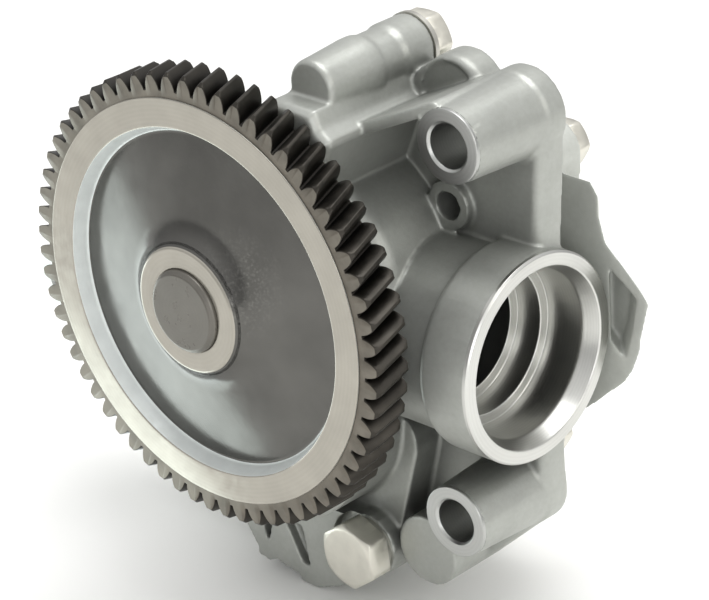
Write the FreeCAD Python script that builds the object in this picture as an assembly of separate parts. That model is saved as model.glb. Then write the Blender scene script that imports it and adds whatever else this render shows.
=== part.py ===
"""Engine oil pump with a helical drive gear.

Two meshing pumping gears turn in a cast body that is closed by a rear cover.
Row frame: origin on the drive shaft's axis, in the plane of the drive gear's
front ring face. +Y runs along the shaft into the pump, +X points out of the
suction port and +Z is up. All lengths are millimetres.
"""
import FreeCAD, Part
import math
import os

V = FreeCAD.Vector

# Drive gear
DRIVE_TEETH = 63
DRIVE_NORMAL_MODULE = 2.0
DRIVE_ADDENDUM = 2.2
DRIVE_DEDENDUM = 3.0
DRIVE_HELIX = 18.0
DRIVE_FACE = 13.2
DRIVE_TIP_WIDTH = 0.9
DRIVE_ROOT_GAP = 0.9
DRIVE_CROWN = 0.004
DRIVE_END_BEVEL = 1.0
RIM_OVERLAP = 0.2
RING_R = 61.1
RING_STEP = 0.5
DISH_R = 52.5
DISH_DEPTH = 4.2
DISH_FOOT_R = 22.0
DISH_CORNER = 1.5
WEB_THICKNESS = 5.6
HUB_FACE_R = 18.5
HUB_EDGE = 0.8
HUB_FOOT = 4.4
HUB_REAR_R = 20.5
HUB_FRONT_Y = -5.1
HUB_REAR_Y = 16.6

# Shafts and fits
RUNNING_GAP = 0.05
SEAT_GAP = 0.01
END_GAP = 0.05
SHAFT_R = 12.5
SHAFT_NOSE = 2.0
SHAFT_CHAMFER = 1.2
GEAR_SEAT_R = 11.0
REAR_JOURNAL_R = 10.0
DRIVEN_SHAFT_R = 9.0
BUSH_WALL = 3.0
BUSH_INSET = 0.3
SHAFT_EDGE = 0.8
KEY_WIDTH = 6.0
KEY_DEPTH = 2.2
KEY_INSET = 6.0
THRUST_R = 19.5
THRUST_GAP = 0.1
THRUST_BORE_GAP = 0.2

# Pumping gears
PUMP_TEETH = 11
PUMP_MODULE = 4.0
PUMP_PRESSURE_ANGLE = 28.0
PUMP_ROOT_FACTOR = 1.25
PUMP_BACKLASH = 0.12
PUMP_FLANK_START = 0.25
CHAMBER_GAP = 0.06

# Body stations along the shaft
NOSE_Y = 18.0
NECK_FRONT_Y = 22.0
CASE_FRONT_Y = 26.0
DRIVEN_FRONT_Y = 29.0
FLOOR_Y = 38.0
SKIRT_FRONT_Y = 44.0
EAR_FRONT_Y = 54.0
EAR_THICKNESS = 10.0
REAR_FLANGE = 8.0
GASKET = 0.8
GASKET_INSET = 2.0

# Body forms, seen from the front: x, z and radius
NOSE_R = 24.0
NECK = (10.0, 0.0, 41.5)
NECK_EDGE = 9.0
CASE_R = 36.0
LOWER_CASE_R = 35.0
BOSS_FRONT_Y = 29.0
BOSS_R = 10.8
BOSS_ROOT_R = 12.3
EAR_R = 12.8
EAR_EDGE = 3.0
MOUNT_HOLE_R = 6.5
MOUNT_CHAMFER = 0.7
UPPER_BOSS = (70.5, 55.5)
LOWER_BOSS = (67.5, -60.0)
LEFT_BOSS = (-91.5, -29.0)
LUG = (46.0, -82.0, 11.0)
UPPER_FLANGE = [UPPER_BOSS + (12.0,), (20.0, 30.0, 14.0), (68.5, -6.0, 10.0)]
SPOT_LOBE = [(50.5, 57.0, 12.0), (20.0, 30.0, 14.0), (60.0, 30.0, 10.0)]
LOWER_FLANGE = [(68.5, -20.0, 10.0), (20.0, -40.0, 20.0), LUG, LOWER_BOSS + (12.5,)]
LEFT_SKIRT = [LEFT_BOSS + (11.8,), (-84.0, -50.0, 10.5), (-14.0, -89.0, 10.5), (0.0, -44.0, 30.0),
              (0.0, -8.0, 30.0)]
LUG_FRONT_Y = 40.0
SPOT = (49.3, 57.0, 10.0)
SPOT_DEPTH = 1.2
TOOLING_LUG = (49.9, 25.2, 7.4)
TOOLING_FRONT_Y = 51.0
TOOLING_HOLE_R = 4.2
TOOLING_DEPTH = 9.0
ROOF = [(UPPER_BOSS[0] - 4.7, UPPER_BOSS[1] + 10.0, 1.7), (36.0, 51.5, 1.7)]

# Suction port
PORT_X = 84.0
PORT_Y = 48.7
PORT_Z = -11.3
PORT_R = 31.0
PORT_BASE_X = 40.0
PORT_NECK_R = 28.4
PORT_SHOULDER_X = 66.0
PORT_SHOULDER = 2.4
PORT_LIP = 4.2
PORT_REAR_GAP = 0.3
PORT_LEAD = 5.0
PORT_BORE_R = 24.6
PORT_SEAT_X = 66.5
PORT_STEP_R = 21.4
PORT_STEP_X = 58.0
SUCTION_R = 18.0
SUCTION_END_X = 22.0

# Pressure outlet in the rear cover
OUTLET_X = -37.0
OUTLET_R = 11.0
OUTLET_RELIEF = 0.5
OUTLET_PAD_R = 18.0
OUTLET_PAD_RISE = 6.0
OUTLET_DEPTH = 14.0
GALLERY_R = 13.0
GALLERY_END_X = -18.0
ORING_R = 14.0
ORING_WIRE = 1.4
ORING_PROUD = 0.4

# Cover screws
SCREW_R = 4.0
SCREW_HEAD_AF = 13.0
SCREW_HEAD = 6.0
SCREW_WASHER = 1.2
SCREW_WASHER_R = 8.4
SCREW_GRIP = 17.0
SCREW_SPARE = 2.0
SCREW_CLEARANCE = 0.5
SCREW_EAR_R = 9.5
SCREW_COLUMN = 22.0
HEX_FACE_INSET = 0.3
SCREWS = [(57.0, 31.5), (4.0, 43.0), (-42.0, 16.0), (-64.5, -20.0), (-50.0, -62.0),
          (-14.0, -88.0), (24.0, -84.0), (48.0, -64.0)]
DOWEL_R = 4.0
DOWEL_DEPTH = 8.0
DOWEL_SPARE = 0.5
DOWELS = [(33.0, 41.0), (-52.0, -41.0)]

# Rear cover
COVER_THICKNESS = 9.2
COVER_DOME = 10.0
COVER_DOME_R = 22.0
COVER_DOME_LOWER_R = 20.0
DOME_WALL = 4.0
WING_THICKNESS = 8.6
WING_POCKET_DEPTH = 6.0
WING_DRAFT = 0.22
WING_CENTRE = (48.0, -10.0)
WING = [(50.0, 30.0), (77.0, 29.0), (79.8, 25.0), (79.8, 19.0), (82.0, 11.4), (88.2, 5.9), (94.1, 0.4),
        (97.2, -3.4), (94.4, -15.0), (93.8, -19.4), (91.2, -26.1), (88.2, -30.7), (81.4, -36.9),
        (75.1, -42.7), (56.0, -56.0)]
WING_POCKET = [(83.1, 4.2), (93.1, -3.0), (91.1, -14.5), (88.6, -23.2), (83.6, -19.0)]

# Relief valve, in the barrel at the top
RELIEF_X = 26.7
RELIEF_Z = 64.1
RELIEF_FRONT_Y = 24.0
RELIEF_REAR_Y = 64.0
RELIEF_R = 9.3
RELIEF_PROFILE = [(7.3, 0.0), (8.1, 0.8), (9.3, 16.0), (9.3, 19.0), (8.6, 21.0), (8.6, 28.0), (9.3, 30.0)]
SADDLE = [(12.0, 30.0), (18.6, 61.4), (34.4, 61.4), (36.4, 56.5), (40.0, 53.6), (39.6, 51.6), (32.0, 34.0)]
SADDLE_FRONT_Y = 17.5
SADDLE_EDGE = 1.6
RELIEF_BORE_R = 6.04
RELIEF_TRAVEL = 6.0
RELIEF_SEAT_Y = 32.0
RELIEF_PLUG_AF = 16.0
RELIEF_PLUG_HEAD = 7.0
RELIEF_PLUG_DEPTH = 11.5

# Regulating valve, behind the large plug at the bottom
REG_X = 23.5
REG_Z = -87.5
REG_FACE_Y = 39.0
REG_R = 10.2
REG_SPOT_R = 11.6
REG_WEB = [(REG_X, REG_Z + 4.0, 8.0), (30.0, -52.0, 10.0), (4.0, -60.0, 14.0)]
REG_FOOT = [(-27.0, -78.0), (-25.5, -96.0), (-21.2, -102.4), (-21.2, -104.9), (-16.6, -105.9),
            (-13.4, -104.2), (-3.9, -106.2), (-2.8, -108.0), (3.6, -108.4), (12.3, -104.7), (22.0, -99.5),
            (28.0, -78.0)]
REG_POCKETS = [[(-18.6, -90.0), (-14.2, -90.5), (-16.8, -101.0)],
               [(-9.0, -88.0), (-1.5, -88.5), (1.0, -102.0), (-2.4, -101.0)]]
REG_POCKET_DEPTH = 3.5
REG_FOOT_Y = 36.0
REG_BORE_R = 5.54
REG_PLUG_AF = 19.0
REG_PLUG_HEAD = 8.2
REG_PLUG_TURN = 37.0
REG_PLUG_DEPTH = 8.0
REG_TRAVEL = 3.0
REG_BORE_END_Y = 60.0

# Sizes that both valves share
VALVE_THREAD_WALL = 0.95
VALVE_WASHER = 1.5
VALVE_WASHER_WIDTH = 2.6
VALVE_GAP = 0.04
VALVE_WALL = 1.4
VALVE_CROWN = 3.5
PLUG_CROWN = 3.0
PLUG_CHAMFER = 1.6
PLUG_SPARE = 0.4
SPRING_WIRE = 0.8
SPRING_INSET = 2.6
SPRING_TURNS = 5

# Sizes worked out from the ones above
PITCH_R = DRIVE_TEETH * DRIVE_NORMAL_MODULE / math.cos(math.radians(DRIVE_HELIX)) / 2.0
DRIVE_TIP_R = PITCH_R + DRIVE_ADDENDUM
DRIVE_ROOT_R = PITCH_R - DRIVE_DEDENDUM
PUMP_PITCH_R = PUMP_TEETH * PUMP_MODULE / 2.0
PUMP_TIP_R = PUMP_PITCH_R + PUMP_MODULE
PUMP_ROOT_R = PUMP_PITCH_R - PUMP_ROOT_FACTOR * PUMP_MODULE
DRIVEN_Z = -2.0 * PUMP_PITCH_R
CHAMBER_R = PUMP_TIP_R + CHAMBER_GAP
PARTING_Y = PORT_Y + PORT_R + PORT_REAR_GAP
COVER_Y = PARTING_Y + GASKET
COVER_REAR_Y = COVER_Y + COVER_THICKNESS
EAR_REAR_Y = EAR_FRONT_Y + EAR_THICKNESS
DRIVEN_REAR_Y = COVER_REAR_Y + COVER_DOME - DOME_WALL - 1.0
OUTLET_Z = DRIVEN_Z / 2.0
OUTLET_FACE_Y = COVER_REAR_Y + OUTLET_PAD_RISE
KEY_TOP = GEAR_SEAT_R + KEY_DEPTH
THROUGH = 1.0


def node(name, shape):
    """Write one sub-part as a STEP file."""
    shape = shape.removeSplitter()
    if not shape.isValid():
        raise ValueError(name + " is not valid")
    shape.exportStep("parts/" + name + ".step")
    print(name, len(shape.Solids), "solid(s)", round(shape.Volume), "mm3")


def rod(radius, y0, y1, x=0.0, z=0.0):
    """Cylinder along the shaft direction."""
    return Part.makeCylinder(radius, y1 - y0, V(x, y0, z), V(0, 1, 0))


def cone(r0, r1, y0, y1, x=0.0, z=0.0):
    """Cone along the shaft direction."""
    return Part.makeCone(r0, r1, y1 - y0, V(x, y0, z), V(0, 1, 0))


def across(radius, x0, x1, y, z):
    """Cylinder along the port direction."""
    return Part.makeCylinder(radius, x1 - x0, V(x0, y, z), V(1, 0, 0))


def turned(profile, x=0.0, z=0.0):
    """Turn a closed profile of (radius, y) points about an axis along the shaft."""
    points = [V(x + r, y, z) for r, y in profile]
    face = Part.Face(Part.makePolygon(points + points[:1]))
    return face.revolve(V(x, 0, z), V(0, 1, 0), 360)


def prism(points, y0, y1):
    """Extrude an outline of (x, z) points along the shaft."""
    corners = [V(x, y0, z) for x, z in points]
    return Part.Face(Part.makePolygon(corners + corners[:1])).extrude(V(0, y1 - y0, 0))


def belt(circles, y0, y1):
    """Extrude the outline of a belt round circles (x, z, r), taken anticlockwise."""
    count = len(circles)
    normals = []
    for i in range(count):
        x1, z1, r1 = circles[i]
        x2, z2, r2 = circles[(i + 1) % count]
        length = math.hypot(x2 - x1, z2 - z1)
        along = (r1 - r2) / length
        out = math.sqrt(1.0 - along * along)
        dx = (x2 - x1) / length
        dz = (z2 - z1) / length
        normals.append((along * dx + out * dz, along * dz - out * dx))
    edges = []
    for i in range(count):
        x, z, r = circles[i]
        a0 = math.atan2(normals[i - 1][1], normals[i - 1][0])
        a1 = math.atan2(normals[i][1], normals[i][0])
        while a1 < a0:
            a1 += 2.0 * math.pi
        arc = [V(x + r * math.cos(a), y0, z + r * math.sin(a)) for a in (a0, (a0 + a1) / 2.0, a1)]
        if a1 - a0 > 1e-6:
            edges.append(Part.Arc(arc[0], arc[1], arc[2]).toShape())
        x2, z2, r2 = circles[(i + 1) % count]
        end = V(x2 + r2 * normals[i][0], y0, z2 + r2 * normals[i][1])
        edges.append(Part.makeLine(arc[2], end))
    return Part.Face(Part.Wire(edges)).extrude(V(0, y1 - y0, 0))


def hexagon(flats, y0, y1, x, z, chamfer, chamfer_front, turn=0.0):
    """Hexagonal head along the shaft direction with one face chamfered all round."""
    r = flats / math.sqrt(3.0)
    angles = [math.radians(60.0 * k + turn) for k in range(6)]
    corners = [(x + r * math.cos(a), z + r * math.sin(a)) for a in angles]
    head = prism(corners, y0, y1)
    small = flats / 2.0 - HEX_FACE_INSET
    wide = small + (y1 - y0) * (r - small) / chamfer
    if chamfer_front:
        return head.common(cone(small, wide, y0, y1, x, z))
    return head.common(cone(wide, small, y0, y1, x, z))


def fuse_all(shapes):
    """Fuse a list of shapes into one."""
    return shapes[0].multiFuse(shapes[1:])


def spring(radius, wire, turns, y0, y1, x, z):
    """Closed coil of round wire between two planes square to the shaft."""
    pitch = (y1 - y0 - 2.0 * wire) / turns
    helix = Part.makeHelix(pitch, pitch * turns, radius)
    section = Part.Wire(Part.makeCircle(wire, V(radius, 0, 0), V(0, 1, 0)))
    coil = Part.Wire(helix).makePipeShell([section], True, True)
    coil.rotate(V(0, 0, 0), V(1, 0, 0), -90)
    coil.translate(V(x, y0 + wire, z))
    return coil


def drive_tooth_wire(y, turn):
    """Outline of the drive gear's teeth in one plane: curved flanks, short tips and roots."""
    pitch = 2.0 * math.pi / DRIVE_TEETH
    tip_half = DRIVE_TIP_WIDTH / DRIVE_TIP_R / 2.0
    root_half = pitch / 2.0 - DRIVE_ROOT_GAP / DRIVE_ROOT_R / 2.0
    mid_r = PITCH_R
    mid_half = pitch / 4.0 + DRIVE_CROWN

    def at(radius, angle):
        return V(radius * math.cos(angle), y, radius * math.sin(angle))

    edges = []
    for k in range(DRIVE_TEETH):
        a = k * pitch + turn
        b = a + pitch
        edges.append(Part.Arc(at(DRIVE_ROOT_R, a - root_half), at(mid_r, a - mid_half),
                              at(DRIVE_TIP_R, a - tip_half)).toShape())
        edges.append(Part.makeLine(at(DRIVE_TIP_R, a - tip_half), at(DRIVE_TIP_R, a + tip_half)))
        edges.append(Part.Arc(at(DRIVE_TIP_R, a + tip_half), at(mid_r, a + mid_half),
                              at(DRIVE_ROOT_R, a + root_half)).toShape())
        edges.append(Part.makeLine(at(DRIVE_ROOT_R, a + root_half), at(DRIVE_ROOT_R, b - root_half)))
    return Part.Wire(edges)


def make_drive_gear():
    """Helical rim, dished web and hub in one forging."""
    twist = DRIVE_FACE * math.tan(math.radians(DRIVE_HELIX)) / PITCH_R
    front = drive_tooth_wire(RING_STEP, math.pi / 2.0)
    rear = drive_tooth_wire(DRIVE_FACE, math.pi / 2.0 + twist)
    rim = Part.makeLoft([front, rear], True, True)
    web_front = RING_STEP + DISH_DEPTH
    web_rear = web_front + WEB_THICKNESS
    profile = [(SHAFT_R + SEAT_GAP, HUB_FRONT_Y), (HUB_FACE_R, HUB_FRONT_Y),
               (HUB_FACE_R + HUB_EDGE, HUB_FRONT_Y + HUB_EDGE), (DISH_FOOT_R, HUB_FRONT_Y + HUB_FOOT),
               (DISH_R - 2.0 * DISH_CORNER, web_front), (DISH_R, web_front - DISH_CORNER), (DISH_R, 0.0),
               (RING_R, 0.0), (RING_R, DRIVE_FACE), (DISH_R, DRIVE_FACE), (DISH_R, web_rear),
               (DISH_FOOT_R, web_rear), (HUB_REAR_R, HUB_REAR_Y), (SHAFT_R + SEAT_GAP, HUB_REAR_Y)]
    rim = rim.cut(rod(RING_R - RIM_OVERLAP, -THROUGH, DRIVE_FACE + THROUGH))
    clear = DRIVE_TIP_R + DRIVE_END_BEVEL
    rim = rim.common(turned([(0.0, RING_STEP), (DRIVE_TIP_R - DRIVE_END_BEVEL, RING_STEP),
                             (clear, RING_STEP + 2.0 * DRIVE_END_BEVEL),
                             (clear, DRIVE_FACE - 2.0 * DRIVE_END_BEVEL),
                             (DRIVE_TIP_R - DRIVE_END_BEVEL, DRIVE_FACE), (0.0, DRIVE_FACE)]))
    return turned(profile).fuse(rim)


def pump_gear_wire(x, z, phase, y):
    """Involute outline of a pumping gear, as arcs through three points of each flank."""
    pressure = math.radians(PUMP_PRESSURE_ANGLE)
    base = PUMP_PITCH_R * math.cos(pressure)
    start = base + PUMP_FLANK_START
    half = (math.pi * PUMP_MODULE / 2.0 - PUMP_BACKLASH) / 2.0 / PUMP_PITCH_R
    inv = math.tan(pressure) - pressure

    def half_angle(radius):
        angle = math.acos(base / radius)
        return half + inv - (math.tan(angle) - angle)

    def at(radius, angle):
        return V(x + radius * math.cos(angle), y, z + radius * math.sin(angle))

    pitch = 2.0 * math.pi / PUMP_TEETH
    middle = (start + PUMP_TIP_R) / 2.0
    foot = half_angle(start)
    edges = []
    for k in range(PUMP_TEETH):
        a = phase + k * pitch
        b = a + pitch
        edges.append(Part.makeLine(at(PUMP_ROOT_R, a - foot), at(start, a - foot)))
        edges.append(Part.Arc(at(start, a - foot), at(middle, a - half_angle(middle)),
                              at(PUMP_TIP_R, a - half_angle(PUMP_TIP_R))).toShape())
        edges.append(Part.Arc(at(PUMP_TIP_R, a - half_angle(PUMP_TIP_R)), at(PUMP_TIP_R, a),
                              at(PUMP_TIP_R, a + half_angle(PUMP_TIP_R))).toShape())
        edges.append(Part.Arc(at(PUMP_TIP_R, a + half_angle(PUMP_TIP_R)), at(middle, a + half_angle(middle)),
                              at(start, a + foot)).toShape())
        edges.append(Part.makeLine(at(start, a + foot), at(PUMP_ROOT_R, a + foot)))
        edges.append(Part.Arc(at(PUMP_ROOT_R, a + foot), at(PUMP_ROOT_R, (a + b) / 2.0),
                              at(PUMP_ROOT_R, b - foot)).toShape())
    return Part.Wire(edges)


def pump_gear(z, phase, bore):
    """One pumping gear between the chamber floor and the cover."""
    y0 = FLOOR_Y + END_GAP
    width = COVER_Y - END_GAP - y0
    gear = Part.Face(pump_gear_wire(0.0, z, phase, y0)).extrude(V(0, width, 0))
    return gear.cut(rod(bore, y0 - THROUGH, y0 + width + THROUGH, 0.0, z))


def key_box(half_width, top):
    """Block that the key and its two keyways share."""
    y0 = FLOOR_Y + END_GAP + KEY_INSET
    y1 = COVER_Y - END_GAP - KEY_INSET
    low = GEAR_SEAT_R - KEY_DEPTH
    return Part.makeBox(2.0 * half_width, y1 - y0, top - low, V(-half_width, y0, low))


def chamber(extra, y0, y1):
    """Figure-eight space of the two pumping gears."""
    upper = rod(CHAMBER_R + extra, y0, y1)
    lower = rod(CHAMBER_R + extra, y0, y1, 0.0, DRIVEN_Z)
    return upper.fuse(lower)


def drafted(points, y0, y1, centre, draft):
    """Prism whose outline shrinks towards a centre by a fraction over its length."""
    cx, cz = centre
    wires = []
    for y, scale in ((y0, 1.0), (y1, 1.0 - draft)):
        corners = [V(cx + (x - cx) * scale, y, cz + (z - cz) * scale) for x, z in points]
        wires.append(Part.makePolygon(corners + corners[:1]))
    return Part.makeLoft(wires, True, True)


def flange(circles):
    """Mounting flange plate with a rounded front edge."""
    plate = belt(circles, EAR_FRONT_Y, EAR_REAR_Y)
    front = [e for e in plate.Edges if e.BoundBox.YMax < EAR_FRONT_Y + EAR_EDGE / 2.0]
    return plate.makeFillet(EAR_EDGE, front)


def boss_tube(place):
    """Tapered tube of one mounting boss, with the ear that carries it."""
    x, z = place
    tube = cone(BOSS_R, BOSS_ROOT_R, BOSS_FRONT_Y, EAR_FRONT_Y + EAR_EDGE, x, z)
    return tube.fuse(rod(EAR_R, EAR_FRONT_Y + EAR_EDGE, EAR_REAR_Y, x, z))


def mounting_holes():
    """Through holes of the three mounting bosses, chamfered at the front."""
    holes = []
    for x, z in (UPPER_BOSS, LOWER_BOSS, LEFT_BOSS):
        holes.append(rod(MOUNT_HOLE_R, BOSS_FRONT_Y - THROUGH, EAR_REAR_Y + THROUGH, x, z))
        holes.append(cone(MOUNT_HOLE_R + MOUNT_CHAMFER, MOUNT_HOLE_R, BOSS_FRONT_Y,
                          BOSS_FRONT_Y + MOUNT_CHAMFER, x, z))
    return holes


def cover_outline(y0, y1):
    """The outline that the body's rear flange, the gasket and the cover share."""
    case = belt([(0.0, 0.0, CASE_R), (0.0, DRIVEN_Z, CASE_R)], y0, y1)
    return case.fuse(belt([(x, z, SCREW_EAR_R) for x, z in SCREWS], y0, y1))


def screw_holes(radius, y0, y1):
    """Holes for the cover screws between two planes."""
    return [rod(radius, y0, y1, x, z) for x, z in SCREWS]


def dowel_holes(radius, y0, y1):
    """Holes for the dowel pins between two planes."""
    return [rod(radius, y0, y1, x, z) for x, z in DOWELS]


def shaft_case():
    """Neck round the drive shaft and the case round the pumping gears."""
    neck = rod(NECK[2], NECK_FRONT_Y, PARTING_Y, NECK[0], NECK[1])
    rim = [e for e in neck.Edges if e.BoundBox.YMax < NECK_FRONT_Y + THROUGH]
    neck = neck.makeFillet(NECK_EDGE, rim)
    nose = rod(NOSE_R, NOSE_Y, NECK_FRONT_Y + NECK_EDGE)
    case = belt([(0.0, 0.0, CASE_R), (0.0, DRIVEN_Z, LOWER_CASE_R)], CASE_FRONT_Y, PARTING_Y)
    columns = [rod(SCREW_EAR_R, PARTING_Y - SCREW_COLUMN, PARTING_Y, x, z) for x, z in SCREWS]
    return [neck, nose, case, cover_outline(PARTING_Y - REAR_FLANGE, PARTING_Y)] + columns


def mounting_flanges():
    """Bosses, flange plates, the lower lug, the roof web and the tooling lug."""
    solids = [boss_tube(place) for place in (UPPER_BOSS, LOWER_BOSS, LEFT_BOSS)]
    solids += [flange(circles) for circles in (UPPER_FLANGE, SPOT_LOBE, LOWER_FLANGE)]
    solids.append(belt(LEFT_SKIRT, SKIRT_FRONT_Y, EAR_REAR_Y))
    solids.append(rod(LUG[2], LUG_FRONT_Y, EAR_REAR_Y, LUG[0], LUG[1]))
    solids.append(belt(ROOF, BOSS_FRONT_Y, EAR_FRONT_Y + EAR_EDGE))
    solids.append(rod(TOOLING_LUG[2], TOOLING_FRONT_Y, EAR_REAR_Y, TOOLING_LUG[0], TOOLING_LUG[1]))
    return solids


def spot_face():
    """Half-moon spot face on the flange, above the roof web."""
    disc = rod(SPOT[2], EAR_FRONT_Y - THROUGH, EAR_FRONT_Y + SPOT_DEPTH, SPOT[0], SPOT[1])
    (x0, z0, r0), (x1, z1, r1) = ROOF
    below = prism([(x0, z0), (x1, z1), (x1, z1 - CASE_R), (x0, z0 - CASE_R)], EAR_FRONT_Y - 2.0 * THROUGH,
                  EAR_REAR_Y)
    return disc.cut(below.fuse(belt(ROOF, EAR_FRONT_Y - 2.0 * THROUGH, EAR_REAR_Y)))


def relief_barrel():
    """Tapered barrel of the relief valve, half sunk in the saddle that carries it."""
    profile = [(r, RELIEF_FRONT_Y + step) for r, step in RELIEF_PROFILE]
    profile = [(0.0, RELIEF_FRONT_Y)] + profile + [(RELIEF_R, RELIEF_REAR_Y), (0.0, RELIEF_REAR_Y)]
    saddle = prism(SADDLE, SADDLE_FRONT_Y, EAR_REAR_Y)
    rim = [e for e in saddle.Edges if e.BoundBox.YMax < SADDLE_FRONT_Y + THROUGH]
    return [turned(profile, RELIEF_X, RELIEF_Z), saddle.makeChamfer(SADDLE_EDGE, rim)]


def regulator_boss():
    """Round boss behind the large plug, its web and the lobed foot beside it."""
    boss = rod(REG_R, REG_FACE_Y, EAR_REAR_Y, REG_X, REG_Z)
    web = belt(REG_WEB, SKIRT_FRONT_Y, EAR_REAR_Y)
    return [boss, web, prism(REG_FOOT, REG_FOOT_Y, EAR_REAR_Y)]


def port_collar():
    """Collar of the suction port with its rounded shoulder, and the narrower neck behind it."""
    collar = across(PORT_R, PORT_SHOULDER_X, PORT_X, PORT_Y, PORT_Z)
    shoulder = [e for e in collar.Edges if e.BoundBox.XMax < PORT_SHOULDER_X + THROUGH]
    neck = across(PORT_NECK_R, PORT_BASE_X, PORT_X, PORT_Y, PORT_Z)
    return [collar.makeFillet(PORT_SHOULDER, shoulder), neck]


def port_cuts():
    """Stepped suction bore with its lead-in, and the pressure gallery."""
    lead_x = PORT_X - PORT_LEAD
    lead = Part.makeCone(PORT_BORE_R, PORT_R - PORT_LIP, PORT_LEAD, V(lead_x, PORT_Y, PORT_Z), V(1, 0, 0))
    return [lead, across(PORT_BORE_R, PORT_SEAT_X, PORT_X, PORT_Y, PORT_Z),
            across(PORT_STEP_R, PORT_STEP_X, PORT_X, PORT_Y, PORT_Z),
            across(SUCTION_R, SUCTION_END_X, PORT_X, PORT_Y, PORT_Z),
            across(GALLERY_R, OUTLET_X, GALLERY_END_X, PARTING_Y - OUTLET_DEPTH, OUTLET_Z),
            rod(OUTLET_R + OUTLET_RELIEF, PARTING_Y - OUTLET_DEPTH, PARTING_Y + THROUGH, OUTLET_X,
                OUTLET_Z)]


def valve_bores():
    """Bores of the two valves, the wider threads of their plugs and the foot's cored pockets."""
    bores = [rod(RELIEF_BORE_R, RELIEF_SEAT_Y, RELIEF_REAR_Y + THROUGH, RELIEF_X, RELIEF_Z),
             rod(RELIEF_BORE_R + VALVE_THREAD_WALL, RELIEF_REAR_Y - RELIEF_PLUG_DEPTH,
                 RELIEF_REAR_Y + THROUGH, RELIEF_X, RELIEF_Z),
             rod(REG_SPOT_R, REG_FOOT_Y - THROUGH, REG_FACE_Y, REG_X, REG_Z)]
    bores += [rod(REG_BORE_R, REG_FACE_Y - THROUGH, REG_BORE_END_Y, REG_X, REG_Z),
              rod(REG_BORE_R + VALVE_THREAD_WALL, REG_FACE_Y - THROUGH, REG_FACE_Y + REG_PLUG_DEPTH,
                  REG_X, REG_Z)]
    floor = REG_FOOT_Y + REG_POCKET_DEPTH
    return bores + [prism(pocket, REG_FOOT_Y - THROUGH, floor) for pocket in REG_POCKETS]


def make_body():
    """Cast pump body with its neck, port collar, mounting bosses and valve barrels."""
    solids = shaft_case() + mounting_flanges() + relief_barrel() + regulator_boss() + port_collar()
    body = fuse_all(solids).removeSplitter()
    tooling_y = TOOLING_FRONT_Y - 2.0 * TOOLING_HOLE_R
    body = body.cut(rod(TOOLING_HOLE_R, tooling_y, TOOLING_FRONT_Y + TOOLING_DEPTH, TOOLING_LUG[0],
                        TOOLING_LUG[1]))

    cuts = [chamber(0.0, FLOOR_Y, PARTING_Y + THROUGH)]
    cuts.append(rod(SHAFT_R + BUSH_WALL, NOSE_Y - THROUGH, FLOOR_Y + THROUGH))
    cuts.append(rod(DRIVEN_SHAFT_R + BUSH_WALL, DRIVEN_FRONT_Y - THROUGH, FLOOR_Y + THROUGH, 0.0, DRIVEN_Z))
    cuts += mounting_holes() + port_cuts() + valve_bores() + [spot_face()]
    cuts += screw_holes(SCREW_R + RUNNING_GAP, COVER_REAR_Y - SCREW_GRIP - SCREW_SPARE, PARTING_Y + THROUGH)
    cuts += dowel_holes(DOWEL_R + SEAT_GAP, PARTING_Y - DOWEL_DEPTH, PARTING_Y + THROUGH)
    return body.cut(fuse_all(cuts))


def make_cover():
    """Cast rear cover with its bearing domes, outlet pad and pocketed wing."""
    dome_y = COVER_REAR_Y + COVER_DOME
    domes = belt([(0.0, 0.0, COVER_DOME_R), (0.0, DRIVEN_Z, COVER_DOME_LOWER_R)], COVER_Y, dome_y)
    pad = rod(OUTLET_PAD_R, COVER_Y, OUTLET_FACE_Y, OUTLET_X, OUTLET_Z)
    wing = drafted(WING, COVER_Y, COVER_Y + WING_THICKNESS, WING_CENTRE, WING_DRAFT)
    cover = fuse_all([cover_outline(COVER_Y, COVER_REAR_Y), domes, pad, wing])

    front = COVER_Y - THROUGH
    pocket_draft = WING_DRAFT * WING_POCKET_DEPTH / WING_THICKNESS
    cuts = [drafted(WING_POCKET, COVER_Y, COVER_Y + WING_POCKET_DEPTH, WING_CENTRE, pocket_draft)]
    cuts.append(rod(REAR_JOURNAL_R + BUSH_WALL, front, dome_y - DOME_WALL))
    cuts.append(rod(DRIVEN_SHAFT_R + BUSH_WALL, front, dome_y - DOME_WALL, 0.0, DRIVEN_Z))
    cuts.append(rod(OUTLET_R, front, OUTLET_FACE_Y + THROUGH, OUTLET_X, OUTLET_Z))
    groove_y = OUTLET_FACE_Y - 2.0 * ORING_WIRE + ORING_PROUD
    groove = rod(ORING_R + ORING_WIRE, groove_y, OUTLET_FACE_Y + THROUGH, OUTLET_X, OUTLET_Z)
    cuts.append(groove.cut(rod(ORING_R - ORING_WIRE, front, OUTLET_FACE_Y + THROUGH, OUTLET_X, OUTLET_Z)))
    cuts += screw_holes(SCREW_R + SCREW_CLEARANCE, front, COVER_REAR_Y + THROUGH)
    cuts += dowel_holes(DOWEL_R + SEAT_GAP, front, PARTING_Y + DOWEL_DEPTH)
    return cover.cut(fuse_all(cuts))


def make_gasket():
    """Flat gasket between body and cover."""
    front = PARTING_Y - THROUGH
    rear = COVER_Y + THROUGH
    cuts = [chamber(GASKET_INSET, front, rear)]
    cuts.append(rod(OUTLET_R + OUTLET_RELIEF, front, rear, OUTLET_X, OUTLET_Z))
    cuts += screw_holes(SCREW_R + SCREW_CLEARANCE, front, rear)
    cuts += dowel_holes(DOWEL_R + SEAT_GAP, front, rear)
    return cover_outline(PARTING_Y, COVER_Y).cut(fuse_all(cuts))


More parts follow.
